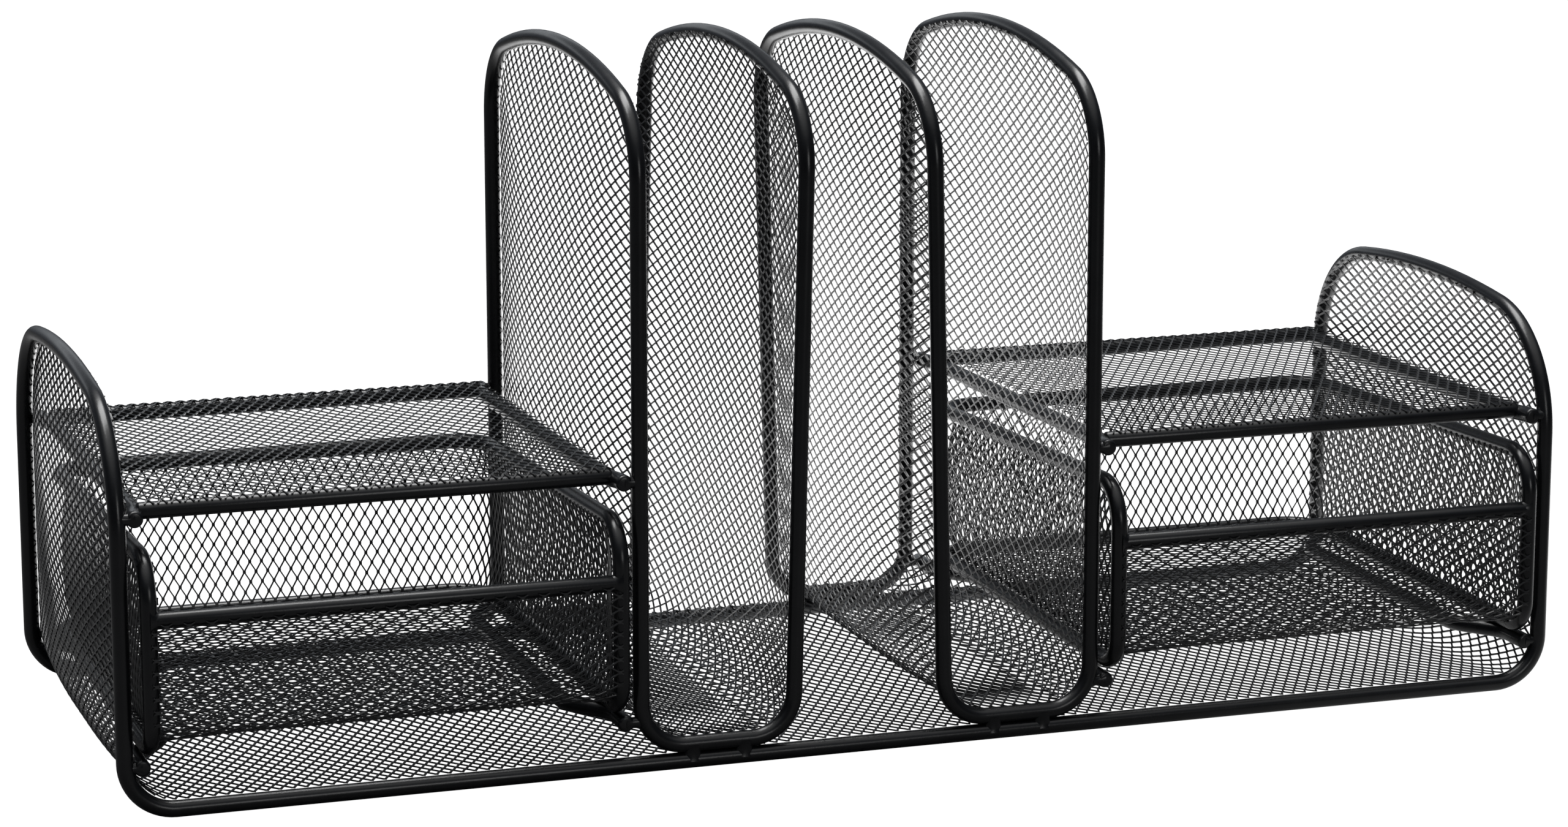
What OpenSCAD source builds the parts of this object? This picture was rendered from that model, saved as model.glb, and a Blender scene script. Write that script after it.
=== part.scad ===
// Desktop file sorter of welded round wire and expanded metal mesh.
// A wide tray carries two upright pockets in its middle and a roofed bay at each end.
// A basket slides out of each bay towards the front (-Y) on two cranked runners.
// Z = 0 is the desk, and the origin is the middle of the footprint.

/* [Wire] */
// Diameter of all the round wire
wire_d = 4.4; // [3.6:0.1:4.8]
// Thickness of the mesh sheets
sheet_t = 0.8; // [0.5:0.1:1.2]

/* [Tray] */
// Width of the tray between the wire centres
tray_w = 402; // [396:1:430]
// Depth of the tray between the wire centres
tray_d = 144.2; // [136:0.2:160]
// Height of the end arches at their wire centre
end_top = 108.4; // [104:0.1:125]
// Radius of the gentle crown of an end arch
end_crown_r = 350; // [250:5:450]
// Radius of the shoulders of an end arch
end_shoulder_r = 33; // [25:1:38]
// Radius of the tray wire's lower corners
tray_corner_r = 13; // [10:0.5:18]

/* [Pockets] */
// Height of the pocket arches at their wire centre
pocket_top = 185.4; // [170:0.1:200]
// Distance from the middle to a pocket's outer leg
pocket_outer_x = 63.9; // [60:0.1:64.5]
// Distance from the middle to a pocket's inner leg, at the bottom
pocket_inner_x = 21.6; // [18:0.1:25]
// Lean of a pocket's inner side towards the middle, in degrees
pocket_lean = 1.4; // [0:0.1:2]
// Radius of the crown of a pocket arch
pocket_crown_r = 221; // [180:1:300]
// Radius of the shoulders of a pocket arch
pocket_shoulder_r = 22; // [16:1:30]
// Radius of a pocket's lower corners
pocket_corner_r = 12; // [9:0.5:14]
// Distance between the two weld beads under a pocket
bead_pitch = 14.4; // [10:0.2:20]
// Diameter of a weld bead
bead_d = 4.4; // [3:0.1:4.4]

/* [Shelves] */
// Height of a shelf's wires at the middle of its depth
shelf_z = 78.2; // [77.5:0.1:82]
// Tilt of a shelf, in degrees, so that things stay at its back
shelf_tilt = 1; // [0:0.1:1.2]
// How far a shelf's rods lie below its cross wires
rod_drop = 0.8; // [0:0.1:1.2]
// Distance from the tray's edge to a shelf's cross wires
shelf_inset = 6; // [5:0.5:9]

/* [Runners] */
// Height of a runner's wire centre
runner_z = 13.8; // [12:0.1:14]
// Sideways crank of a runner
runner_crank = 9.6; // [8.4:0.6:13.2]

/* [Baskets] */
// Width of a basket between the wire centres
basket_w = 124.1; // [118:0.1:124.4]
// How far a basket stands in front of the tray
basket_proud = 4; // [2:0.5:8]
// Distance from the tray's back wire to a basket's back wire
basket_gap = 8.5; // [6:0.5:12]
// Height of a basket's upper wire centre
basket_rim_z = 68.5; // [64:0.1:69]
// How much lower a basket's upper wire is at the back
basket_rim_fall = 5.5; // [0:0.5:7]
// Height of a basket's front bar centre
basket_bar_z = 53; // [45:0.5:56]
// Radius of the bend from a basket's rim into its front post
basket_rim_r = 11; // [9:0.5:12]
// Radius of the bend at the foot of a front post
basket_foot_r = 8; // [7:0.5:10]
// Radius of a basket's back corners
basket_back_r = 12; // [9:0.5:16]
// Radius of the roll along the floor's front edge
floor_roll_r = 6; // [4:0.5:8]

/* [Hidden] */
$fn = 64;

LEFT = -1;
RIGHT = 1;
wire_r = wire_d / 2;
half_w = tray_w / 2;
half_d = tray_d / 2;
// Sides of a ring in a bent wire, and the shortest stretch worth drawing.
ring_sides = 16;
shortest = 0.02;
wire_color = "#1b1c1e";
mesh_color = "#2a2b2e";

// The tray sits this far behind the origin, because the baskets stand proud in front.
tray_y = basket_proud / 2;
tray_z = wire_r;
pocket_z = tray_z + wire_d;

// Middle of a bay, and the distance from there to a rod that touches the bay's uprights.
bay_x = (half_w + pocket_outer_x) / 2;
bay_half = (half_w - pocket_outer_x) / 2;
rod_x = bay_half - wire_d;

// Rods and runners end just past the uprights.
rod_end = 1.3;
// A shelf's rods crank inwards a little near their ends, where the cross wires meet them.
rod_crank = 1.8;
rod_crank_start = 2;
rod_crank_end = 8.5;
rod_bend_r = 12;
shelf_reach = rod_x - wire_r - 1.4;
// A runner cranks inwards 3 in 4, a little further in.
runner_crank_start = 12;
runner_crank_end = runner_crank_start + runner_crank * 4 / 3;
runner_bend_r = 12;

// A basket's lower wire lies on the runners, with a hairline of play.
basket_play = 0.3;
basket_low_z = runner_z + wire_d + basket_play;

// Planes of a basket, in its own bay.
basket_front_y = -half_d - basket_proud;
basket_back_y = half_d - basket_gap;
wall_x = basket_w / 2 - wire_r - sheet_t / 2;
wall_y = basket_back_y - wire_r - sheet_t / 2;
wall_back_r = basket_back_r - wire_r - sheet_t / 2;
floor_z = basket_low_z + wire_r - sheet_t;
floor_gap = 0.1;

// ---- vectors ----

function unit(v) = v / norm(v);
function turn_at(a, p, b) = acos(max(-1, min(1, unit(p - a) * unit(b - p))));
function setback(a, p, b, r) = r * tan(turn_at(a, p, b) / 2);
// Any direction square to v.
function square_to(v) = abs(v.z) < 0.9 * norm(v)
    ? unit(cross([0, 0, 1], v))
    : unit(cross([1, 0, 0], v));

// Places children so that their x, y and z axes lie along ex, ey and ez at the point p.
module placed(p, ex, ey, ez) {
    multmatrix([
        [ex.x, ey.x, ez.x, p.x],
        [ex.y, ey.y, ez.y, p.y],
        [ex.z, ey.z, ez.z, p.z],
        [0, 0, 0, 1]
    ])
        children();
}

// ---- swept shapes ----

// Straight stretch from a to b. The profile's y axis lies along the direction across.
module stretch(a, b, across) {
    along = unit(b - a);
    if (norm(b - a) > shortest)
        placed(a, cross(across, along), across, along)
            linear_extrude(height = norm(b - a))
                children();
}

// Bend of radius r that rounds the corner p on the way from a to b.
module bend(a, p, b, r) {
    turn = turn_at(a, p, b);
    from = p - unit(p - a) * setback(a, p, b, r);
    middle = p + unit(unit(a - p) + unit(b - p)) * r / cos(turn / 2);
    out = unit(from - middle);
    along = unit(p - a);
    placed(middle, out, along, cross(out, along))
        rotate_extrude(angle = turn, $fn = 96)
            translate([r, 0])
                children();
}

// Sweeps the child profile along points, with one bend radius for each point.
// An open path's two end points take a radius of 0.
module sweep(points, radii, closed = false, across = undef) {
    n = len(points);
    function at(i) = points[(i + n) % n];
    function back(i) = radii[i % n] > 0 ? setback(at(i - 1), at(i), at(i + 1), radii[i % n]) : 0;
    for (i = [0 : closed ? n - 1 : n - 2]) {
        along = unit(at(i + 1) - at(i));
        side = is_undef(across) ? square_to(along) : across;
        stretch(at(i) + along * back(i), at(i + 1) - along * back(i + 1), side)
            children();
    }
    for (i = [0 : n - 1])
        if (radii[i] > 0)
            bend(at(i - 1), at(i), at(i + 1), radii[i])
                children();
}

module wire(points, radii, closed = false) {
    sweep(points, radii, closed)
        circle(r = wire_r, $fn = 48);
}

// The path of a bent wire as a list of points, with every bend in even steps.
function bend_points(a, p, b, r) =
    let (
        turn = turn_at(a, p, b),
        from = p - unit(p - a) * setback(a, p, b, r),
        middle = p + unit(unit(a - p) + unit(b - p)) * r / cos(turn / 2),
        out = unit(from - middle),
        along = unit(p - a),
        steps = 2 * ceil(turn * sqrt(r) / 100)
    )
    [for (i = [0 : steps]) middle + r * (cos(turn * i / steps) * out + sin(turn * i / steps) * along)];

function bent_path(points, radii) =
    let (n = len(points))
    [
        for (i = [0 : n - 1])
            each radii[i] > 0
                ? bend_points(points[(i + n - 1) % n], points[i], points[(i + 1) % n], radii[i])
                : [points[i]]
    ];

// Drops a point that lies on the one before it.
function spaced(path) = [
    for (i = [0 : len(path) - 1])
        if (norm(path[i] - path[(i + len(path) - 1) % len(path)]) > shortest) path[i]
];

// Round wire drawn as rings along a bent path, for bends that aren't square.
// No stretch of a path runs along diagonal, so each ring can be set out from it.
module ring_wire(points, radii, closed = false, diagonal = [1, 1, 0]) {
    path = spaced(bent_path(points, radii));
    n = len(path);
    function ahead(i) = closed || i < n - 1 ? unit(path[(i + 1) % n] - path[i]) : ahead(i - 1);
    function behind(i) = closed || i > 0 ? unit(path[i] - path[(i + n - 1) % n]) : ahead(i);
    rings = [
        for (i = [0 : n - 1])
            let (
                along = unit(ahead(i) + behind(i)),
                ex = unit(cross(diagonal, along)),
                ey = cross(along, ex)
            )
            for (k = [0 : ring_sides - 1])
                path[i] + wire_r * (cos(360 * k / ring_sides) * ex + sin(360 * k / ring_sides) * ey)
    ];
    function corner(i, k) = (i % n) * ring_sides + k % ring_sides;
    sides = [
        for (i = [0 : closed ? n - 1 : n - 2], k = [0 : ring_sides - 1])
            each [
                [corner(i, k), corner(i + 1, k), corner(i + 1, k + 1)],
                [corner(i, k), corner(i + 1, k + 1), corner(i, k + 1)]
            ]
    ];
    ends = closed ? [] : [
        [for (k = [0 : ring_sides - 1]) corner(0, k)],
        [for (k = [ring_sides - 1 : -1 : 0]) corner(n - 1, k)]
    ];
    polyhedron(points = rings, faces = concat(sides, ends));
}

// Straight wire along X.
module cross_wire(half_length, y, z) {
    translate([-half_length, y, z])
        rotate([0, 90, 0])
            cylinder(h = 2 * half_length, r = wire_r, $fn = 48);
}

// ---- arches ----

// Height of the shoulder centres of an arch, and the slant of the crown's ends.
function crown_z(top, crown_r) = top - crown_r;
function slant(crown_r, shoulder_r) = asin((half_d - shoulder_r) / (crown_r - shoulder_r));
function shoulder_z(top, crown_r, shoulder_r) =
    crown_z(top, crown_r) + (crown_r - shoulder_r) * cos(slant(crown_r, shoulder_r));

// The corner points of an arch as [y, z], from front to back, for its centre line or inset from it.
function arch_points(top, crown_r, shoulder_r, inset = 0) =
    let (
        s = slant(crown_r, shoulder_r),
        z = shoulder_z(top, crown_r, shoulder_r) + (shoulder_r - inset) * tan((90 - s) / 2)
    )
    [
        [-half_d + inset, z],
        [0, crown_z(top, crown_r) + (crown_r - inset) / cos(s)],
        [half_d - inset, z]
    ];

// Everything between the uprights and under the top of an arch, along X.
module arch_prism(top, crown_r, shoulder_r) {
    inset = wire_r;
    reach = half_d - inset;
    corners = [
        [0, -reach, 0],
        for (p = arch_points(top, crown_r, shoulder_r, inset)) [0, p[0], p[1]],
        [0, reach, 0]
    ];
    radii = [0, shoulder_r - inset, crown_r - inset, shoulder_r - inset, 0];
    rotate([90, 0, 90])
        linear_extrude(height = 2 * tray_w, center = true)
            polygon([for (p = bent_path(corners, radii)) [p.y, p.z]]);
}

// One side of a strip along a path in the XZ plane, as [x, z].
function strip_side(path, offset) = [
    for (i = [0 : len(path) - 1])
        let (along = unit(path[min(i + 1, len(path) - 1)] - path[max(i - 1, 0)]))
            [path[i].x - offset * along.z, path[i].z + offset * along.x]
];

// Sheet folded to a U along a four-point path in the XZ plane.
module folded_sheet(path, r) {
    line = bent_path(path, [0, r, r, 0]);
    near = strip_side(line, sheet_t / 2);
    far = strip_side(line, -sheet_t / 2);
    rotate([90, 0, 0])
        linear_extrude(height = 2 * (half_d - wire_r), center = true)
            polygon(concat(near, [for (i = [len(far) - 1 : -1 : 0]) far[i]]));
}

// ---- tray ----

module tray_wire() {
    arch = arch_points(end_top, end_crown_r, end_shoulder_r);
    bottom_r = tray_corner_r;
    points = [
        [-half_w, -half_d, tray_z],
        [half_w, -half_d, tray_z],
        for (p = arch) [half_w, p[0], p[1]],
        [half_w, half_d, tray_z],
        [-half_w, half_d, tray_z],
        for (i = [2 : -1 : 0]) [-half_w, arch[i][0], arch[i][1]]
    ];
    arch_radii = [end_shoulder_r, end_crown_r, end_shoulder_r];
    color(wire_color)
        translate([0, tray_y, 0])
            ring_wire(
                points,
                concat([bottom_r, bottom_r], arch_radii, [bottom_r, bottom_r], arch_radii),
                true
            );
}

// One sheet that makes the tray's floor and both end walls.
module tray_mesh() {
    path = [[-half_w, 0, end_top], [-half_w, 0, tray_z], [half_w, 0, tray_z], [half_w, 0, end_top]];
    color(mesh_color)
        translate([0, tray_y, 0])
            intersection() {
                folded_sheet(path, tray_corner_r);
                arch_prism(end_top, end_crown_r, end_shoulder_r);
            }
}

// ---- pockets ----

// A point on a pocket's leaning inner side, at the depth y and the sloped height s.
function inner_point(side, y, s) = [
    side * (pocket_inner_x - sin(pocket_lean) * s),
    y,
    pocket_z + cos(pocket_lean) * s
];

module pocket_wire(side) {
    arch = arch_points(pocket_top, pocket_crown_r, pocket_shoulder_r);
    x = side * pocket_outer_x;
    points = [
        [x, -half_d, pocket_z],
        for (p = arch) [x, p[0], p[1]],
        [x, half_d, pocket_z],
        inner_point(side, half_d, 0),
        for (i = [2 : -1 : 0]) inner_point(side, arch[i][0], arch[i][1] - pocket_z),
        inner_point(side, -half_d, 0)
    ];
    low_r = pocket_corner_r;
    arch_radii = [pocket_shoulder_r, pocket_crown_r, pocket_shoulder_r];
    color(wire_color)
        translate([0, tray_y, 0])
            ring_wire(points, concat([low_r], arch_radii, [low_r, low_r], arch_radii, [low_r]), true);
}

// Weld beads between a pocket's lower wire and the tray wire, two in front and two behind.
module pocket_welds(side) {
    middle = side * (pocket_outer_x + pocket_inner_x) / 2;
    color(wire_color)
        translate([middle, tray_y, 0])
            difference() {
                for (x = [-0.5, 0.5] * bead_pitch, y = [-half_d, half_d])
                    translate([x, y, tray_z])
                        cylinder(h = wire_d, d = bead_d);
                for (y = [-half_d, half_d], z = [tray_z, pocket_z])
                    cross_wire(bead_pitch, y, z);
            }
}

// One sheet that makes a pocket's floor and its two sides.
module pocket_mesh(side) {
    path = [
        [side * pocket_outer_x, 0, pocket_top],
        [side * pocket_outer_x, 0, pocket_z],
        inner_point(side, 0, 0),
        inner_point(side, 0, pocket_top - pocket_z)
    ];
    color(mesh_color)
        translate([0, tray_y, 0])
            intersection() {
                folded_sheet(path, pocket_corner_r);
                arch_prism(pocket_top, pocket_crown_r, pocket_shoulder_r);
            }
}

// ---- shelves and runners ----

// Path from front to back beside an upright: straight ends, and a run cranked inwards.
// edge is -1 on the bay's left and 1 on its right.
function cranked_path(edge, crank, start, stop) =
    let (
        x_end = edge * rod_x,
        x_run = edge * (rod_x - crank)
    )
    [
        [x_end, -half_d - rod_end, 0],
        [x_end, -half_d + start, 0],
        [x_run, -half_d + stop, 0],
        [x_run, half_d - stop, 0],
        [x_end, half_d - start, 0],
        [x_end, half_d + rod_end, 0]
    ];

module in_bay(side) {
    translate([side * bay_x, tray_y, 0])
        children();
}

// Puts children drawn about z = 0 at a shelf's height and tilt.
module on_shelf(side) {
    in_bay(side)
        translate([0, 0, shelf_z])
            rotate([-shelf_tilt, 0, 0])
                children();
}

module shelf_rod(side, edge) {
    r = rod_bend_r;
    color(wire_color)
        on_shelf(side)
            translate([0, 0, -rod_drop])
                ring_wire(cranked_path(edge, rod_crank, rod_crank_start, rod_crank_end), [0, r, r, r, r, 0]);
}

module shelf_cross_wire(side, y) {
    color(wire_color)
        on_shelf(side)
            cross_wire(shelf_reach, y, 0);
}

// Sheet that lies on a shelf's wires.
module shelf_mesh(side) {
    width = 2 * (rod_x - rod_crank);
    depth = 2 * (half_d - shelf_inset);
    color(mesh_color)
        on_shelf(side)
            translate([-width / 2, -depth / 2, wire_r])
                cube([width, depth, sheet_t]);
}

module runner(side, edge) {
    r = runner_bend_r;
    color(wire_color)
        in_bay(side)
            translate([0, 0, runner_z])
                wire(
                    cranked_path(edge, runner_crank, runner_crank_start, runner_crank_end),
                    [0, r, r, r, r, 0]
                );
}

// ---- baskets ----

// The closed wire of a basket: two sides, the rim and lower wire behind, and the front posts.
module basket_wire(side) {
    x = basket_w / 2;
    front = basket_front_y;
    back = basket_back_y;
    path = [
        [-x, front, basket_low_z],
        [-x, front, basket_rim_z],
        [-x, back, basket_rim_z - basket_rim_fall],
        [x, back, basket_rim_z - basket_rim_fall],
        [x, front, basket_rim_z],
        [x, front, basket_low_z],
        [x, back, basket_low_z],
        [-x, back, basket_low_z]
    ];
    radii = [
        basket_foot_r, basket_rim_r, basket_back_r, basket_back_r,
        basket_rim_r, basket_foot_r, basket_back_r, basket_back_r
    ];
    color(wire_color)
        in_bay(side)
            ring_wire(path, radii, true, [1, 1, 1]);
}

module basket_bar(side) {
    color(wire_color)
        in_bay(side)
            difference() {
                cross_wire(basket_w / 2, basket_front_y, basket_bar_z);
                for (x = [-0.5, 0.5] * basket_w)
                    translate([x, basket_front_y, basket_low_z])
                        cylinder(h = basket_rim_z - basket_low_z, r = wire_r, $fn = 48);
            }
}

// Height of a basket's sloping upper wire at a distance y behind the middle.
function rim_at(y) = basket_rim_z - basket_rim_fall * (y - basket_front_y) / (basket_back_y - basket_front_y);

// Everything above the sloping rim of a basket.
module above_rim() {
    near = basket_front_y - 10;
    far = basket_back_y + 10;
    top = basket_rim_z + 10;
    rotate([90, 0, 90])
        linear_extrude(height = 2 * basket_w, center = true)
            polygon([[near, rim_at(near)], [far, rim_at(far)], [far, top], [near, top]]);
}

// Strip of sheet that makes the two sides and the back.
module basket_wall_mesh(side) {
    front = basket_front_y + basket_rim_r;
    height = basket_rim_z - basket_low_z;
    middle = (basket_rim_z + basket_low_z) / 2;
    path = [
        [-wall_x, front, middle],
        [-wall_x, wall_y, middle],
        [wall_x, wall_y, middle],
        [wall_x, front, middle]
    ];
    color(mesh_color)
        in_bay(side)
            difference() {
                sweep(path, [0, wall_back_r, wall_back_r, 0], across = [0, 0, 1])
                    square([sheet_t, height], center = true);
                above_rim();
            }
}

// Sheet that makes the low front and the floor, with a soft roll between them.
module basket_floor_mesh(side) {
    half = wall_x - sheet_t / 2 - floor_gap;
    path = [
        [0, basket_front_y, basket_bar_z - wire_r],
        [0, basket_front_y, floor_z],
        [0, wall_y - sheet_t / 2 - floor_gap, floor_z]
    ];
    color(mesh_color)
        in_bay(side)
            intersection() {
                sweep(path, [0, floor_roll_r, 0], across = [1, 0, 0])
                    square([sheet_t, 2 * half], center = true);
                union() {
                    translate([-half, -tray_d, 0])
                        cube([2 * half, tray_d + wall_y - wall_back_r, basket_rim_z]);
                    translate([-half + wall_back_r, -tray_d, 0])
                        cube([2 * (half - wall_back_r), 2 * tray_d, basket_rim_z]);
                    for (x = [-1, 1])
                        translate([x * (half - wall_back_r), wall_y - wall_back_r, 0])
                            cylinder(h = basket_rim_z, r = wall_back_r - sheet_t / 2 - floor_gap);
                }
            }
}

tray_wire();
tray_mesh();
pocket_wire(LEFT);  // left_pocket_wire
pocket_mesh(LEFT);  // left_pocket_mesh
pocket_welds(LEFT);  // left_pocket_welds
pocket_wire(RIGHT);  // right_pocket_wire
pocket_mesh(RIGHT);  // right_pocket_mesh
pocket_welds(RIGHT);  // right_pocket_welds
shelf_cross_wire(LEFT, -half_d + shelf_inset);  // left_shelf_front_wire
shelf_cross_wire(LEFT, half_d - shelf_inset);  // left_shelf_back_wire
shelf_rod(LEFT, -1);  // left_shelf_outer_rod
shelf_rod(LEFT, 1);  // left_shelf_inner_rod
shelf_mesh(LEFT);  // left_shelf_mesh
shelf_cross_wire(RIGHT, -half_d + shelf_inset);  // right_shelf_front_wire
shelf_cross_wire(RIGHT, half_d - shelf_inset);  // right_shelf_back_wire
shelf_rod(RIGHT, 1);  // right_shelf_outer_rod
shelf_rod(RIGHT, -1);  // right_shelf_inner_rod
shelf_mesh(RIGHT);  // right_shelf_mesh
runner(LEFT, -1);  // left_outer_runner
runner(LEFT, 1);  // left_inner_runner
runner(RIGHT, 1);  // right_outer_runner
runner(RIGHT, -1);  // right_inner_runner
basket_wire(LEFT);  // left_basket_wire
basket_bar(LEFT);  // left_basket_bar
basket_wall_mesh(LEFT);  // left_basket_wall_mesh
basket_floor_mesh(LEFT);  // left_basket_floor_mesh
basket_wire(RIGHT);  // right_basket_wire
basket_bar(RIGHT);  // right_basket_bar
basket_wall_mesh(RIGHT);  // right_basket_wall_mesh
basket_floor_mesh(RIGHT);  // right_basket_floor_mesh
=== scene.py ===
"""Looks of a desktop file sorter: smooth powder-coated wire and real expanded metal over the CAD parts."""

import math

import bpy
import numpy as np
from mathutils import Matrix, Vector


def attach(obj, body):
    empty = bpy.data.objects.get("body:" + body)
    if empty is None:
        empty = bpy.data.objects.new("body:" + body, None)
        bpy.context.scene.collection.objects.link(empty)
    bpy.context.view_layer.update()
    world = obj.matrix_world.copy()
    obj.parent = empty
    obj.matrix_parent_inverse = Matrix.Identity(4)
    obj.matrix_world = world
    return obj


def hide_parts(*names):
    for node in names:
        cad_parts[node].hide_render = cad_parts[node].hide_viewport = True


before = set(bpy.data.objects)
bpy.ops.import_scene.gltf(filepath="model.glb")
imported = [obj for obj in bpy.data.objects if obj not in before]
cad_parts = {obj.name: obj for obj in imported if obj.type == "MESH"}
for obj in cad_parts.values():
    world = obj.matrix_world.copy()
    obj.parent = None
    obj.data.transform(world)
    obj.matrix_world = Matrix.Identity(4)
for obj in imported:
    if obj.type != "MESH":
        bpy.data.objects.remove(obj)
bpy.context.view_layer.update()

MM = 0.001
LEFT, RIGHT = -1, 1
SIDE_NAMES = {LEFT: "left", RIGHT: "right"}
FRAME_BODY = "frame"

# Sizes of the sorter in millimetres, as in the CAD part.
WIRE_R = 2.2
HALF_W = 201.0
HALF_D = 72.1
FRAME_Y = 2.0
TRAY_Z = 2.2
POCKET_Z = 6.6
END_ARCH = {"top": 108.4, "crown": 350.0, "shoulder": 33.0}
POCKET_ARCH = {"top": 185.4, "crown": 221.0, "shoulder": 22.0}
TRAY_CORNER_R = 13.0
POCKET_CORNER_R = 12.0
POCKET_OUTER_X = 63.9
POCKET_INNER_X = 21.6
POCKET_LEAN = math.radians(1.4)
BEAD_PITCH = 14.4
BAY_X = (HALF_W + POCKET_OUTER_X) / 2
BAY_HALF = (HALF_W - POCKET_OUTER_X) / 2
ROD_X = BAY_HALF - 2 * WIRE_R
ROD_END = 1.3
ROD_CRANK = 1.8
ROD_DROP = 0.8
SHELF_Z = 78.2
SHELF_TILT = math.radians(1.0)
SHELF_INSET = 6.0
RUNNER_Z = 13.8
RUNNER_CRANK = 9.6
BASKET_X = 62.05
BASKET_FRONT = -HALF_D - 4.0
BASKET_BACK = HALF_D - 8.5
BASKET_LOW = 18.5
BASKET_RIM = 68.5
BASKET_RIM_FALL = 5.5
BASKET_BAR = 53.0
BASKET_RIM_R = 11.0
BASKET_FOOT_R = 8.0
BASKET_BACK_R = 12.0

# Expanded metal: long and short way of a diamond, the flat where strands meet, strand section and tilt.
TRAY_SHEET = {"long": 6.25, "short": 3.45, "flat": 0.7, "wide": 0.57, "thick": 0.37}
POCKET_SHEET = {"long": 6.25, "short": 3.45, "flat": 0.7, "wide": 0.47, "thick": 0.3}
BASKET_SHEET = {"long": 5.8, "short": 3.4, "flat": 0.8, "wide": 0.42, "thick": 0.34}
STRAND_TILT = math.radians(-6)
# How far a sheet's edge stops short of a wire's middle, how far inside the middle it laps the wire, how far it
# lies above a shelf's wires and folds down past their middle, and how far the walls bulge out between wires.
EDGE = 0.25
LAP = WIRE_R + 0.3
SHELF_LIFT = WIRE_R + 0.35
SHELF_LAP = 1.7
BULGE = 5.0


# ---- paths ----


def unit(v):
    return v / np.linalg.norm(v)


def bent_path(points, radii, closed=False):
    """Points along a path whose corners are rounded by arcs fine enough to look smooth."""
    points = [np.array(p, float) for p in points]
    n = len(points)
    path = []
    for i, (p, r) in enumerate(zip(points, radii)):
        if not r:
            path.append(p)
            continue
        back = unit(points[i - 1] - p)
        ahead = unit(points[(i + 1) % n] - p)
        turn = math.pi - math.acos(np.clip(back @ ahead, -1, 1))
        start = p + back * r * math.tan(turn / 2)
        middle = p + unit(back + ahead) * r / math.cos(turn / 2)
        out = unit(start - middle)
        steps = max(4, math.ceil(turn / (2 * math.acos(1 - 0.02 / r))))
        for k in range(steps + 1):
            a = turn * k / steps
            path.append(middle + r * (math.cos(a) * out - math.sin(a) * back))
    kept = [q for i, q in enumerate(path) if (i == 0 and not closed) or np.linalg.norm(q - path[i - 1]) > 0.01]
    return np.array(kept)


def slant(arch):
    return math.asin((HALF_D - arch["shoulder"]) / (arch["crown"] - arch["shoulder"]))


def shoulder_z(arch):
    return arch["top"] - arch["crown"] + (arch["crown"] - arch["shoulder"]) * math.cos(slant(arch))


def arch_corners(arch):
    """Corners of an arch as (y, z), from front to back."""
    s = slant(arch)
    z = shoulder_z(arch) + arch["shoulder"] * math.tan((math.pi / 2 - s) / 2)
    return [(-HALF_D, z), (0, arch["top"] - arch["crown"] + arch["crown"] / math.cos(s)), (HALF_D, z)]


def arch_depth(arch, y, z):
    """Distance from points inside an arch to the middle of its wire."""
    reach = HALF_D - arch["shoulder"]
    side = np.abs(y) - reach
    up = z - shoulder_z(arch)
    beside = HALF_D - np.abs(y)
    crown = arch["crown"] - np.hypot(y, z - arch["top"] + arch["crown"])
    shoulder = arch["shoulder"] - np.hypot(side, up)
    on_shoulder = (side > 0) & (up > 0) & (np.arctan2(side, up) > slant(arch))
    return np.where(up <= 0, np.minimum(beside, crown), np.where(on_shoulder, shoulder, crown))


# ---- mesh building ----


def make_object(name, vertices, faces, material, body, smooth=True):
    mesh = bpy.data.meshes.new(name)
    mesh.from_pydata((np.asarray(vertices) * MM).tolist(), [], faces)
    mesh.update()
    mesh.polygons.foreach_set("use_smooth", [smooth] * len(mesh.polygons))
    mesh.materials.append(material)
    obj = bpy.data.objects.new(name, mesh)
    bpy.context.scene.collection.objects.link(obj)
    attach(obj, body)
    return obj


def rings_to_faces(count, sides, closed):
    faces = []
    for i in range(count if closed else count - 1):
        j = (i + 1) % count
        for k in range(sides):
            m = (k + 1) % sides
            faces.append((i * sides + k, j * sides + k, j * sides + m, i * sides + m))
    return faces


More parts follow.
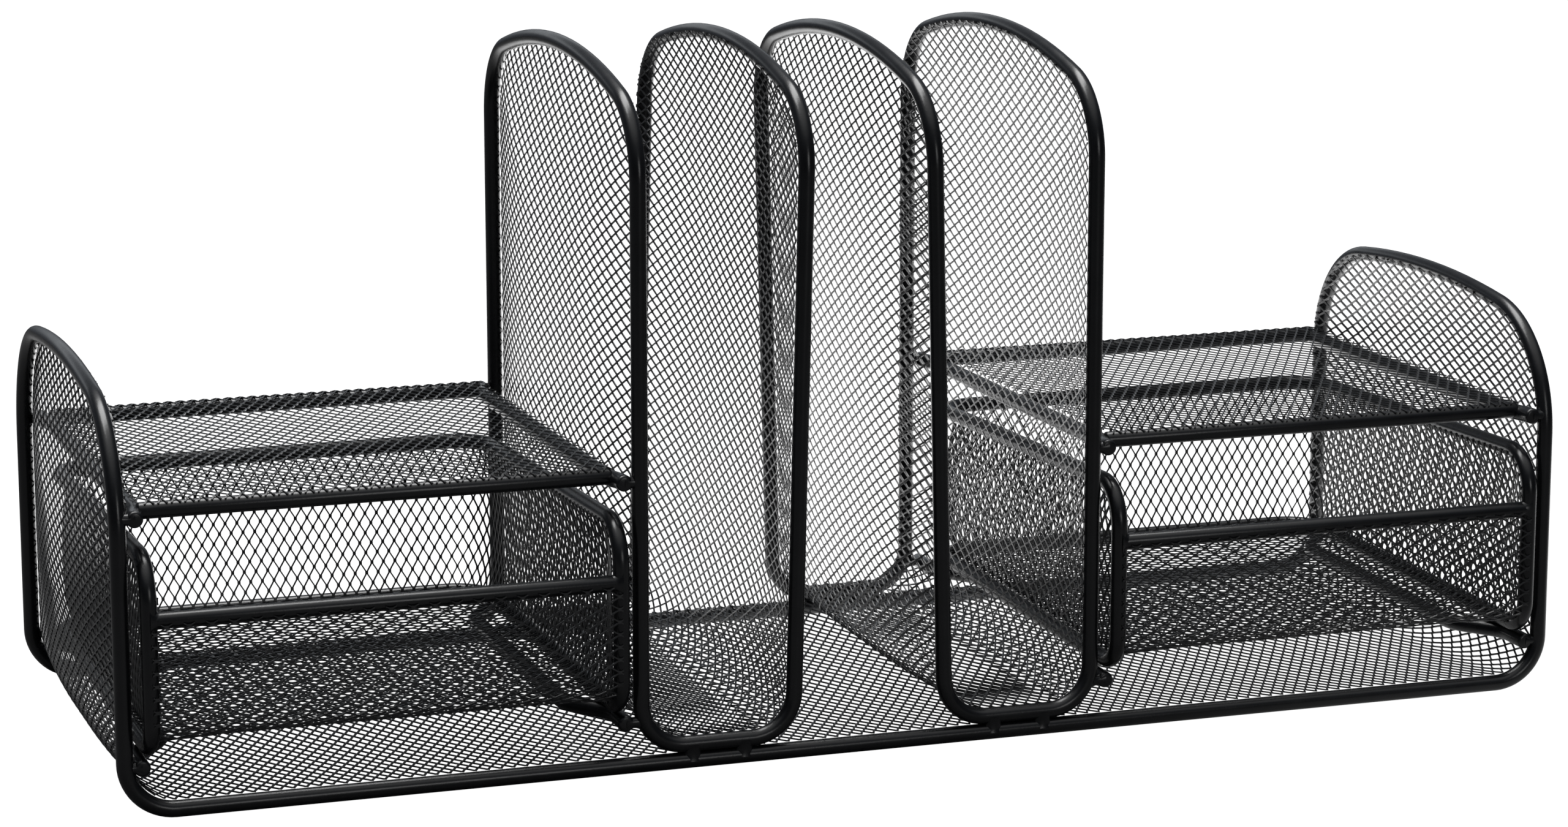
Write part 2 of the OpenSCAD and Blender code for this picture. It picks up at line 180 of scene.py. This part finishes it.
def tube(path, closed=False, sides=28):
    """Vertices and faces of a round wire along a path. An open wire has softly rounded ends."""
    path = np.array(path, float)
    radii = np.full(len(path), WIRE_R)
    if not closed:
        rim = WIRE_R * 0.35
        first, last = unit(path[1] - path[0]), unit(path[-1] - path[-2])
        quarter = [math.radians(a) for a in (0, 30, 60, 85)]
        near = [path[0] + first * rim * (1 - math.sin(a)) for a in quarter[::-1]]
        far = [path[-1] - last * rim * (1 - math.sin(a)) for a in quarter]
        fall = [WIRE_R - rim * (1 - math.cos(a)) for a in quarter]
        path = np.array(near + list(path[1:-1]) + far)
        radii = np.array(fall[::-1] + [WIRE_R] * (len(path) - 8) + fall)
    n = len(path)
    if closed:
        tangents = [unit(unit(path[(i + 1) % n] - path[i]) + unit(path[i] - path[i - 1])) for i in range(n)]
    else:
        inner = [unit(unit(path[i + 1] - path[i]) + unit(path[i] - path[i - 1])) for i in range(1, n - 1)]
        tangents = [unit(path[1] - path[0])] + inner + [unit(path[-1] - path[-2])]
    side = unit(np.cross(tangents[0], [0.31, 0.52, 0.79]))
    sides_at = [side]
    for t in tangents[1:]:
        side = unit(side - t * (side @ t))
        sides_at.append(side)
    twist = 0.0
    if closed:
        back = unit(side - tangents[0] * (side @ tangents[0]))
        twist = math.atan2(np.cross(back, sides_at[0]) @ tangents[0], back @ sides_at[0])
    angles = np.arange(sides) * 2 * math.pi / sides
    rings = []
    for i, (p, t, ex) in enumerate(zip(path, tangents, sides_at)):
        ey = np.cross(t, ex)
        a = angles + twist * i / n
        rings.append(p + radii[i] * (np.cos(a)[:, None] * ex + np.sin(a)[:, None] * ey))
    vertices = np.concatenate(rings)
    faces = rings_to_faces(n, sides, closed)
    if not closed:
        faces.append(tuple(range(sides)))
        faces.append(tuple(range(len(vertices) - 1, len(vertices) - 1 - sides, -1)))
    return vertices, faces


def joined(parts):
    vertices, faces, start = [], [], 0
    for v, f in parts:
        vertices.append(v)
        faces += [tuple(start + i for i in face) for face in f]
        start += len(v)
    return np.concatenate(vertices), faces


def fillet_post(a, b, across, wide, thick, flare_a=1.0, flare_b=1.0, sides=20, levels=9):
    """A weld's saddle from wire centre a to wire centre b: narrow between them and flared onto each."""
    a, b = np.array(a, float), np.array(b, float)
    along = unit(b - a)
    ex = unit(np.array(across, float) - along * (np.array(across, float) @ along))
    ey = np.cross(along, ex)
    angles = np.arange(sides) * 2 * math.pi / sides
    rings = []
    for k in range(levels):
        t = k / (levels - 1)
        flare = flare_a * max(0, 1 - 2 * t) ** 2 + flare_b * max(0, 2 * t - 1) ** 2
        rx = wide * (1 + 0.55 * flare)
        ry = thick * (1 + 0.12 * flare)
        ring = rx * np.cos(angles)[:, None] * ex + ry * np.sin(angles)[:, None] * ey
        rings.append(a + (b - a) * t + ring)
    return np.concatenate(rings), rings_to_faces(levels, sides, False)


class Strip:
    """A strip of sheet along a path in a plane: where a point lies from its length along the path."""

    def __init__(self, points, radii, turn_side):
        path = bent_path([(p[0], p[1], 0) for p in points], radii)[:, :2]
        fine = []
        for p, q in zip(path[:-1], path[1:]):
            fine += [p, q - (q - p) * 1e-3]
        fine.append(path[-1])
        self.at = np.array(fine)
        steps = np.diff(self.at, axis=0)
        lengths = np.hypot(steps[:, 0], steps[:, 1])
        self.s = np.concatenate([[0], np.cumsum(lengths)])
        centre = (self.s[1:] + self.s[:-1]) / 2
        heading = np.unwrap(np.arctan2(steps[:, 1], steps[:, 0]))
        long = lengths > 0.01
        self.heading = np.interp(self.s, centre[long], heading[long])
        # A straight stretch keeps one heading from end to end.
        for i in np.nonzero(lengths > 2.5)[0]:
            self.heading[i] = heading[i]
            self.heading[i + 1] = heading[i]
        self.turn_side = turn_side
        self.length = self.s[-1]

    def place(self, s, inward):
        x = np.interp(s, self.s, self.at[:, 0])
        z = np.interp(s, self.s, self.at[:, 1])
        h = np.interp(s, self.s, self.heading) + self.turn_side * math.pi / 2
        return x + inward * np.cos(h), z + inward * np.sin(h)


def expanded(size, long_range, short_range, depth, place, tilt=STRAND_TILT):
    """Vertices and faces of expanded metal.

    Ribbons run the long way and touch their neighbours in turn, along short flats. depth(l, s) is how far a
    point lies inside the sheet's outline, and place(l, s, w) gives a point w above the sheet in the row frame.
    """
    pitch = size["short"] / 2
    swing = (pitch - size["wide"] * math.cos(tilt)) / 2
    half = size["long"] / 2
    rows = np.arange(math.floor(short_range[0] / pitch) - 1, math.ceil(short_range[1] / pitch) + 2)
    knots = np.arange(math.floor(long_range[0] / half) - 1, math.ceil(long_range[1] / half) + 2)
    row, knot = np.meshgrid(rows, knots[:-1], indexing="ij")
    row, knot = row.ravel(), knot.ravel()

    def knot_at(knot, shift):
        sign = 1 - 2 * ((row + knot) % 2)
        long_at = knot * half + shift * size["flat"] / 2
        return np.stack([long_at, row * pitch + sign * swing, -sign * size["wide"] / 2 * math.sin(tilt)], 1)

    a = np.concatenate([knot_at(knot, -1), knot_at(knot, 1)])
    b = np.concatenate([knot_at(knot, 1), knot_at(knot + 1, -1)])
    da, db = depth(a[:, 0], a[:, 1]), depth(b[:, 0], b[:, 1])
    kept = (da > 0) | (db > 0)
    a, b, da, db = a[kept], b[kept], da[kept], db[kept]
    cut_a, cut_b = da <= 0, db <= 0
    a[cut_a] += (b[cut_a] - a[cut_a]) * (-da[cut_a] / (db[cut_a] - da[cut_a]))[:, None]
    b[cut_b] += (a[cut_b] - b[cut_b]) * (-db[cut_b] / (da[cut_b] - db[cut_b]))[:, None]

    wide = np.array([0, math.cos(tilt), math.sin(tilt)]) * size["wide"] / 2
    thick = np.array([0, -math.sin(tilt), math.cos(tilt)]) * size["thick"] / 2
    section = np.array([-wide - thick, wide - thick, wide + thick, -wide + thick])
    flat = np.stack([a, b], 1)[:, :, None, :] + section
    flat = flat.reshape(-1, 3)
    vertices = np.stack(place(flat[:, 0], flat[:, 1], flat[:, 2]), 1)
    first = np.arange(len(a)) * 8
    around = [(0, 4, 5, 1), (1, 5, 6, 2), (2, 6, 7, 3), (3, 7, 4, 0)]
    faces = [tuple(f + i for i in quad) for f in first.tolist() for quad in around]
    faces += [(f, f + 1, f + 2, f + 3) for f in first[cut_a].tolist()]
    faces += [(f + 7, f + 6, f + 5, f + 4) for f in first[cut_b].tolist()]
    return vertices, faces


# ---- materials ----


def powder_coat(name, colour, rough, grain, bump):
    """Black powder coat: a faint mottle, uneven gloss and fine orange peel."""
    material = bpy.data.materials.new(name)
    material.use_nodes = True
    nodes, links = material.node_tree.nodes, material.node_tree.links
    shader = nodes["Principled BSDF"]
    shader.inputs["Metallic"].default_value = 0.0
    shader.inputs["IOR"].default_value = 1.5
    where = nodes.new("ShaderNodeTexCoord")

    mottle = nodes.new("ShaderNodeTexNoise")
    mottle.inputs["Scale"].default_value = 140
    mottle.inputs["Detail"].default_value = 3
    links.new(where.outputs["Object"], mottle.inputs["Vector"])
    shades = nodes.new("ShaderNodeValToRGB")
    shades.color_ramp.elements[0].position = 0.3
    shades.color_ramp.elements[1].position = 0.7
    shades.color_ramp.elements[0].color = (*[c * 0.8 for c in colour], 1)
    shades.color_ramp.elements[1].color = (*[c * 1.25 for c in colour], 1)
    links.new(mottle.outputs["Fac"], shades.inputs["Fac"])
    links.new(shades.outputs["Color"], shader.inputs["Base Color"])

    gloss = nodes.new("ShaderNodeMapRange")
    gloss.inputs["To Min"].default_value = rough - 0.05
    gloss.inputs["To Max"].default_value = rough + 0.05
    links.new(mottle.outputs["Fac"], gloss.inputs["Value"])
    links.new(gloss.outputs["Result"], shader.inputs["Roughness"])

    peel = nodes.new("ShaderNodeTexNoise")
    peel.inputs["Scale"].default_value = grain
    peel.inputs["Detail"].default_value = 2
    links.new(where.outputs["Object"], peel.inputs["Vector"])
    relief = nodes.new("ShaderNodeBump")
    relief.inputs["Strength"].default_value = bump
    relief.inputs["Distance"].default_value = 0.00004
    links.new(peel.outputs["Fac"], relief.inputs["Height"])
    links.new(relief.outputs["Normal"], shader.inputs["Normal"])
    return material


wire_coat = powder_coat("black_powder_coat_wire", (0.0055, 0.006, 0.007), 0.27, 1300, 0.35)
# The mesh gets the wire's black powder coat with a lighter base colour, which paints highlights onto the
# strands.
mesh_coat_painted_highlight = powder_coat("black_powder_coat_mesh_painted_highlight", (0.018, 0.0185, 0.0195), 0.34, 1700, 0.3)


# ---- wires ----


def wire_piece(node, parts, body=FRAME_BODY):
    vertices, faces = joined(parts)
    piece = make_object(node + "_look", vertices, faces, wire_coat, body)
    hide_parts(node)


def closed_wire(points, radii):
    return tube(bent_path(points, radii, True), True)


def framed(points):
    """Moves points drawn about the frame's middle depth into the row frame."""
    return [(x, y + FRAME_Y, z) for x, y, z in points]


def tray_wire():
    arch = arch_corners(END_ARCH)
    points = [(-HALF_W, -HALF_D, TRAY_Z), (HALF_W, -HALF_D, TRAY_Z)]
    points += [(HALF_W, y, z) for y, z in arch]
    points += [(HALF_W, HALF_D, TRAY_Z), (-HALF_W, HALF_D, TRAY_Z)]
    points += [(-HALF_W, y, z) for y, z in arch[::-1]]
    arch_radii = [END_ARCH["shoulder"], END_ARCH["crown"], END_ARCH["shoulder"]]
    corner = [TRAY_CORNER_R] * 2
    wire_piece("tray_wire", [closed_wire(framed(points), corner + arch_radii + corner + arch_radii)])


def inner_point(side, y, s):
    return (side * (POCKET_INNER_X - math.sin(POCKET_LEAN) * s), y, POCKET_Z + math.cos(POCKET_LEAN) * s)


def pocket_wire(side):
    arch = arch_corners(POCKET_ARCH)
    x = side * POCKET_OUTER_X
    points = [(x, -HALF_D, POCKET_Z)] + [(x, y, z) for y, z in arch] + [(x, HALF_D, POCKET_Z)]
    points += [inner_point(side, HALF_D, 0)]
    points += [inner_point(side, y, z - POCKET_Z) for y, z in arch[::-1]]
    points += [inner_point(side, -HALF_D, 0)]
    low = POCKET_CORNER_R
    arch_radii = [POCKET_ARCH["shoulder"], POCKET_ARCH["crown"], POCKET_ARCH["shoulder"]]
    radii = [low] + arch_radii + [low, low] + arch_radii + [low]
    wire_piece(SIDE_NAMES[side] + "_pocket_wire", [closed_wire(framed(points), radii)])


def pocket_welds(side):
    middle = side * (POCKET_OUTER_X + POCKET_INNER_X) / 2
    beads = [
        fillet_post(
            (middle + x, y + FRAME_Y, TRAY_Z), (middle + x, y + FRAME_Y, POCKET_Z), (1, 0, 0), 2.6, 2.12
        )
        for x in (-BEAD_PITCH / 2, BEAD_PITCH / 2)
        for y in (-HALF_D, HALF_D)
    ]
    wire_piece(SIDE_NAMES[side] + "_pocket_welds", beads)


def cranked_path(edge, crank, start, stop):
    end, run = edge * ROD_X, edge * (ROD_X - crank)
    far = HALF_D + ROD_END
    points = [
        (end, -far, 0),
        (end, -HALF_D + start, 0),
        (run, -HALF_D + stop, 0),
        (run, HALF_D - stop, 0),
        (end, HALF_D - start, 0),
        (end, far, 0),
    ]
    return bent_path(points, [0, 12, 12, 12, 12, 0])


def on_shelf(side, points):
    """Tilts and lifts points drawn about z = 0 in a bay onto its shelf."""
    p = np.array(points, float)
    c, s = math.cos(SHELF_TILT), math.sin(SHELF_TILT)
    y = p[:, 1] * c + p[:, 2] * s
    z = -p[:, 1] * s + p[:, 2] * c
    return np.stack([p[:, 0] + side * BAY_X, y + FRAME_Y, z + SHELF_Z], 1)


def upright_welds(side, edge, heights):
    """Small welds between a rod's ends and the bay's uprights."""
    x = side * BAY_X
    return [
        fillet_post(
            (x + edge * ROD_X, y + FRAME_Y, z), (x + edge * BAY_HALF, y + FRAME_Y, z), (0, 0, 1), 1.5, 1.35
        )
        for y, z in heights
    ]


def shelf(side):
    name = SIDE_NAMES[side]
    lift = HALF_D * math.sin(SHELF_TILT)
    heights = [(-HALF_D, SHELF_Z - ROD_DROP + lift), (HALF_D, SHELF_Z - ROD_DROP - lift)]
    for edge, place in ((side, "outer"), (-side, "inner")):
        rod = tube(on_shelf(side, cranked_path(edge, ROD_CRANK, 2, 8.5) - np.array([0, 0, ROD_DROP])))
        wire_piece(f"{name}_shelf_{place}_rod", [rod] + upright_welds(side, edge, heights))
    reach = ROD_X - ROD_CRANK + 0.2
    for y, place in ((-HALF_D + SHELF_INSET, "front"), (HALF_D - SHELF_INSET, "back")):
        bar = tube(on_shelf(side, [(-reach, y, 0), (0, y, 0), (reach, y, 0)]))
        wire_piece(f"{name}_shelf_{place}_wire", [bar])


def runners(side):
    for edge, place in ((side, "outer"), (-side, "inner")):
        path = cranked_path(edge, RUNNER_CRANK, 12, 12 + RUNNER_CRANK * 4 / 3)
        rod = tube(path + np.array([side * BAY_X, FRAME_Y, RUNNER_Z]))
        heights = [(-HALF_D, RUNNER_Z), (HALF_D, RUNNER_Z)]
        wire_piece(f"{SIDE_NAMES[side]}_{place}_runner", [rod] + upright_welds(side, edge, heights))


def basket_wires(side):
    name = SIDE_NAMES[side]
    body = name + "_basket"
    x, front, back = BASKET_X, BASKET_FRONT, BASKET_BACK
    points = [
        (-x, front, BASKET_LOW),
        (-x, front, BASKET_RIM),
        (-x, back, BASKET_RIM - BASKET_RIM_FALL),
        (x, back, BASKET_RIM - BASKET_RIM_FALL),
        (x, front, BASKET_RIM),
        (x, front, BASKET_LOW),
        (x, back, BASKET_LOW),
        (-x, back, BASKET_LOW),
    ]
    points = [(px + side * BAY_X, py + FRAME_Y, pz) for px, py, pz in points]
    side_radii = [BASKET_FOOT_R, BASKET_RIM_R, BASKET_BACK_R]
    radii = side_radii + side_radii[::-1] + [BASKET_BACK_R] * 2
    wire_piece(name + "_basket_wire", [closed_wire(points, radii)], body)
    y = front + FRAME_Y
    middle = side * BAY_X
    bar = [tube([(middle - x, y, BASKET_BAR), (middle, y, BASKET_BAR), (middle + x, y, BASKET_BAR)])]
    for edge in (-1, 1):
        post = (middle + edge * x, y, BASKET_BAR)
        inside = (middle + edge * (x - 5.4), y, BASKET_BAR)
        bar.append(fillet_post(inside, post, (0, 0, 1), WIRE_R - 0.02, WIRE_R - 0.1, flare_a=0, flare_b=2.4))
    wire_piece(name + "_basket_bar", bar, body)


# ---- expanded metal ----


def mesh_piece(node, part, body=FRAME_BODY):
    piece = make_object(node + "_look", *part, mesh_coat_painted_highlight, body, smooth=False)
    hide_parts(node)


def rounded(edge, a, b, r):
    """Distance inside an outline with a corner of radius r, at the distances a and b from its two sides."""
    corner = (a < r) & (b < r)
    return np.where(corner, np.minimum(edge, r - np.hypot(r - a, r - b)), edge)


def folded_sheet(size, arch, strip, bow):
    """A U of sheet that lies inside its wire: lapped onto it along every edge and bulged out between."""

    def height_at(s):
        return strip.place(s, 0)[1]

    def depth(y, s):
        return arch_depth(arch, y, height_at(s)) - EDGE

    def place(y, s, w):
        inside = np.clip(depth(y, s) / bow, 0, 1)
        up_wall = np.clip((height_at(s) - 12) / 30, 0, 1)
        swell = LAP + (BULGE - LAP) * up_wall
        x, z = strip.place(s, LAP - swell * (1 - (1 - inside) ** 2) + w)
        return x, y + FRAME_Y, z

    return expanded(size, (-HALF_D, HALF_D), (0, strip.length), depth, place)


def tray_mesh():
    top = END_ARCH["top"]
    corners = [(-HALF_W, top), (-HALF_W, TRAY_Z), (HALF_W, TRAY_Z), (HALF_W, top)]
    strip = Strip(corners, [0, TRAY_CORNER_R, TRAY_CORNER_R, 0], 1)
    mesh_piece("tray_mesh", folded_sheet(TRAY_SHEET, END_ARCH, strip, 60))


def pocket_mesh(side):
    rise = POCKET_ARCH["top"] - POCKET_Z
    inner_low, inner_top = inner_point(side, 0, 0), inner_point(side, 0, rise)
    corners = [
        (side * POCKET_OUTER_X, POCKET_ARCH["top"]),
        (side * POCKET_OUTER_X, POCKET_Z),
        (inner_low[0], inner_low[2]),
        (inner_top[0], inner_top[2]),
    ]
    strip = Strip(corners, [0, POCKET_CORNER_R, POCKET_CORNER_R, 0], -side)
    mesh_piece(SIDE_NAMES[side] + "_pocket_mesh", folded_sheet(POCKET_SHEET, POCKET_ARCH, strip, 55))


def shelf_mesh(side):
    half_x = ROD_X - ROD_CRANK
    half_y = HALF_D - SHELF_INSET

    def depth(y, x):
        return np.minimum(half_x - np.abs(x), half_y + SHELF_LAP - np.abs(y))

    def place(y, x, w):
        """Flat with a slight sag, and folded down over the wires at the front and back."""
        sag = 0.9 * np.clip(depth(y, x) / 30, 0, 1)
        over = np.clip(np.abs(y) - half_y, 0, SHELF_LAP + 0.5)
        lift = np.sqrt(SHELF_LIFT**2 - over**2)
        p = on_shelf(side, np.stack([x, y, lift - sag + w], 1))
        return p[:, 0], p[:, 1], p[:, 2]

    part = expanded(POCKET_SHEET, (-half_y, half_y), (-half_x, half_x), depth, place)
    mesh_piece(SIDE_NAMES[side] + "_shelf_mesh", part)


def basket_wall_mesh(side):
    """Side, back and side in one strip, inside the basket's wires, with the long way upright."""
    x, y = BASKET_X, BASKET_BACK
    corners = [(-x, BASKET_FRONT), (-x, y), (x, y), (x, BASKET_FRONT)]
    strip = Strip(corners, [0, BASKET_BACK_R, BASKET_BACK_R, 0], -1)

    def depth(z, s):
        along = np.minimum(s, strip.length - s)
        back = (strip.place(s, 0)[1] - BASKET_FRONT) / (BASKET_BACK - BASKET_FRONT)
        up, down = BASKET_RIM - BASKET_RIM_FALL * back - z, z - BASKET_LOW
        edge = np.minimum(np.minimum(up, down), along)
        edge = rounded(edge, up, along, BASKET_RIM_R)
        return rounded(edge, down, along, BASKET_FOOT_R) - EDGE

    def place(z, s, w):
        inward = LAP * (1 - np.clip(depth(z, s) / 18, 0, 1)) ** 2
        px, py = strip.place(s, inward + w)
        return px + side * BAY_X, py + FRAME_Y, z

    part = expanded(BASKET_SHEET, (BASKET_LOW, BASKET_RIM), (0, strip.length), depth, place)
    name = SIDE_NAMES[side]
    mesh_piece(name + "_basket_wall_mesh", part, name + "_basket")


def basket_floor_mesh(side):
    """Low front and floor in one sheet, which laps the posts and the bar, then rolls in over the floor."""
    x = BASKET_X
    front, floor = BASKET_FRONT - LAP, BASKET_LOW + 1.6
    back = BASKET_BACK - 1.5
    strip = Strip([(front, BASKET_BAR - 0.5), (front, floor), (back, floor)], [0, 8, 0], 1)
    rise = BASKET_BAR - 0.5 - floor

    def depth(px, s):
        to_back = strip.length - s
        reach = np.where(s < rise, x - 0.2, x - 0.4)
        edge = np.minimum(reach - np.abs(px), np.minimum(s, to_back))
        return rounded(edge, x - np.abs(px), to_back, BASKET_BACK_R)

    def place(px, s, w):
        # The floor lies on the side wires and sags a little between them.
        on_floor = np.clip((s - rise) / 12, 0, 1)
        lift = 1.0 * on_floor * (1 - np.clip((x - np.abs(px)) / 14, 0, 1)) ** 2
        slack = 0.9 * (1 - on_floor) * np.clip(s / 14, 0, 1) * np.clip((x - np.abs(px)) / 20, 0, 1)
        y, z = strip.place(s, lift + slack + w)
        return px + side * BAY_X, y + FRAME_Y, z

    part = expanded(BASKET_SHEET, (-x, x), (0, strip.length), depth, place)
    name = SIDE_NAMES[side]
    mesh_piece(name + "_basket_floor_mesh", part, name + "_basket")


tray_wire()
tray_mesh()
for side in (LEFT, RIGHT):
    pocket_wire(side)
    pocket_mesh(side)
    pocket_welds(side)
    shelf(side)
    shelf_mesh(side)
    runners(side)
    basket_wires(side)
    basket_wall_mesh(side)
    basket_floor_mesh(side)


# ---- stage ----


def floor_piece():
    n, reach = 24, 6.0
    ticks = np.linspace(-reach, reach, n)
    vertices = [(x, y, -0.0001) for y in ticks for x in ticks]
    corners = [j * n + i for j in range(n - 1) for i in range(n - 1)]
    faces = [(c, c + 1, c + n + 1, c + n) for c in corners]
    mesh = bpy.data.meshes.new("floor")
    mesh.from_pydata(vertices, [], faces)
    material = bpy.data.materials.new("pale_floor")
    material.use_nodes = True
    nodes, links = material.node_tree.nodes, material.node_tree.links
    shader = nodes["Principled BSDF"]
    shader.inputs["Roughness"].default_value = 0.9
    shader.inputs["Specular IOR Level"].default_value = 0.1
    where = nodes.new("ShaderNodeTexCoord")
    cloud = nodes.new("ShaderNodeTexNoise")
    cloud.inputs["Scale"].default_value = 3
    links.new(where.outputs["Object"], cloud.inputs["Vector"])
    shades = nodes.new("ShaderNodeValToRGB")
    shades.color_ramp.elements[0].color = (0.1, 0.1, 0.103, 1)
    shades.color_ramp.elements[1].color = (0.13, 0.13, 0.13, 1)
    links.new(cloud.outputs["Fac"], shades.inputs["Fac"])
    links.new(shades.outputs["Color"], shader.inputs["Base Color"])
    # The floor glows like a light table: white to the camera, so that it stays white under the mesh, and
    # a pool of light behind the object, which the undersides of wires and strands reflect.
    seen = nodes.new("ShaderNodeLightPath")
    spread = nodes.new("ShaderNodeVectorMath")
    spread.operation = "DISTANCE"
    spread.inputs[1].default_value = (0.3, 0.45, 0)
    links.new(where.outputs["Object"], spread.inputs[0])
    pool = nodes.new("ShaderNodeMapRange")
    pool.interpolation_type = "SMOOTHSTEP"
    for name, value in (("From Min", 0.3), ("From Max", 0.6), ("To Min", 2.6), ("To Max", 0.0)):
        pool.inputs[name].default_value = value
    links.new(spread.outputs["Value"], pool.inputs["Value"])
    glow = nodes.new("ShaderNodeMix")
    glow.data_type = "FLOAT"
    glow.inputs["B"].default_value = 1.02
    links.new(seen.outputs["Is Camera Ray"], glow.inputs["Factor"])
    links.new(pool.outputs["Result"], glow.inputs["A"])
    shader.inputs["Emission Color"].default_value = (1, 1, 1, 1)
    links.new(glow.outputs["Result"], shader.inputs["Emission Strength"])
    mesh.materials.append(material)
    obj = bpy.data.objects.new("floor", mesh)
    bpy.context.scene.collection.objects.link(obj)


def ramp(nodes, stops):
    """A colour ramp with the given (position, colour) stops."""
    node = nodes.new("ShaderNodeValToRGB")
    elements = node.color_ramp.elements
    elements[0].position, elements[0].color = stops[0][0], (*stops[0][1], 1)
    elements[1].position, elements[1].color = stops[-1][0], (*stops[-1][1], 1)
    for position, colour in stops[1:-1]:
        elements.new(position).color = (*colour, 1)
    return node


def sky():
    """White to the camera. As light it is dim, but for the top and a low band behind the object."""
    world = bpy.data.worlds.new("studio")
    bpy.context.scene.world = world
    world.use_nodes = True
    nodes, links = world.node_tree.nodes, world.node_tree.links
    nodes.clear()
    where = nodes.new("ShaderNodeTexCoord")
    split = nodes.new("ShaderNodeSeparateXYZ")
    links.new(where.outputs["Generated"], split.inputs["Vector"])
    dark, front, pale, bright = (0, 0, 0), (0.035, 0.037, 0.042), (0.11, 0.12, 0.14), (1.0, 1.0, 1.0)
    to_back = nodes.new("ShaderNodeMapRange")
    to_back.inputs["From Min"].default_value = -1.0
    links.new(split.outputs["Y"], to_back.inputs["Value"])
    depth = ramp(nodes, [(0.35, front), (1.0, pale)])
    height = ramp(nodes, [(0.3, front), (0.6, pale), (1.0, bright)])
    behind = ramp(nodes, [(0.9, dark), (0.97, bright)])
    band = ramp(nodes, [(0.12, dark), (0.2, (0.9, 0.95, 1.0)), (0.26, (0.9, 0.95, 1.0)), (0.36, dark)])
    for node in (depth, behind):
        links.new(to_back.outputs["Result"], node.inputs["Fac"])
    for node in (height, band):
        links.new(split.outputs["Z"], node.inputs["Fac"])

    def blended(kind, a, b):
        node = nodes.new("ShaderNodeMix")
        node.data_type = "RGBA"
        node.blend_type = kind
        node.inputs["Factor"].default_value = 1.0
        links.new(a, node.inputs["A"])
        links.new(b, node.inputs["B"])
        return node.outputs["Result"]

    strip = blended("MULTIPLY", behind.outputs["Color"], band.outputs["Color"])
    dome = blended("LIGHTEN", depth.outputs["Color"], height.outputs["Color"])
    light = nodes.new("ShaderNodeBackground")
    links.new(blended("LIGHTEN", dome, strip), light.inputs["Color"])
    white = nodes.new("ShaderNodeBackground")
    white.inputs["Color"].default_value = (1, 1, 1, 1)
    white.inputs["Strength"].default_value = 1.05
    seen = nodes.new("ShaderNodeLightPath")
    mix = nodes.new("ShaderNodeMixShader")
    out = nodes.new("ShaderNodeOutputWorld")
    links.new(seen.outputs["Is Camera Ray"], mix.inputs["Fac"])
    links.new(light.outputs["Background"], mix.inputs[1])
    links.new(white.outputs["Background"], mix.inputs[2])
    links.new(mix.outputs["Shader"], out.inputs["Surface"])


def soft_light(name, at, aim, width, height, watts):
    lamp = bpy.data.lights.new(name, "AREA")
    lamp.shape = "RECTANGLE"
    lamp.size, lamp.size_y = width, height
    lamp.energy = watts
    obj = bpy.data.objects.new(name, lamp)
    obj.location = at
    obj.rotation_euler = (Vector(aim) - Vector(at)).to_track_quat("-Z", "Y").to_euler()
    bpy.context.scene.collection.objects.link(obj)


def camera():
    data = bpy.data.cameras.new("camera")
    data.sensor_fit = "HORIZONTAL"
    data.sensor_width = 36
    data.lens = 100.468
    data.clip_start, data.clip_end = 0.05, 50
    obj = bpy.data.objects.new("camera", data)
    obj.location = (-0.387788, -1.135856, 0.329319)
    obj.rotation_euler = (math.pi / 2 - 0.20585, 0, -0.32879)
    bpy.context.scene.collection.objects.link(obj)
    bpy.context.scene.camera = obj


floor_piece()
sky()
soft_light("overhead", (-0.1, 0.35, 1.4), (0, 0, 0), 1.2, 0.7, 22)
soft_light("front", (0.25, -1.5, 0.46), (0, 0, 0.08), 0.45, 0.4, 1.6)
camera()
bpy.context.scene.view_settings.view_transform = "Standard"
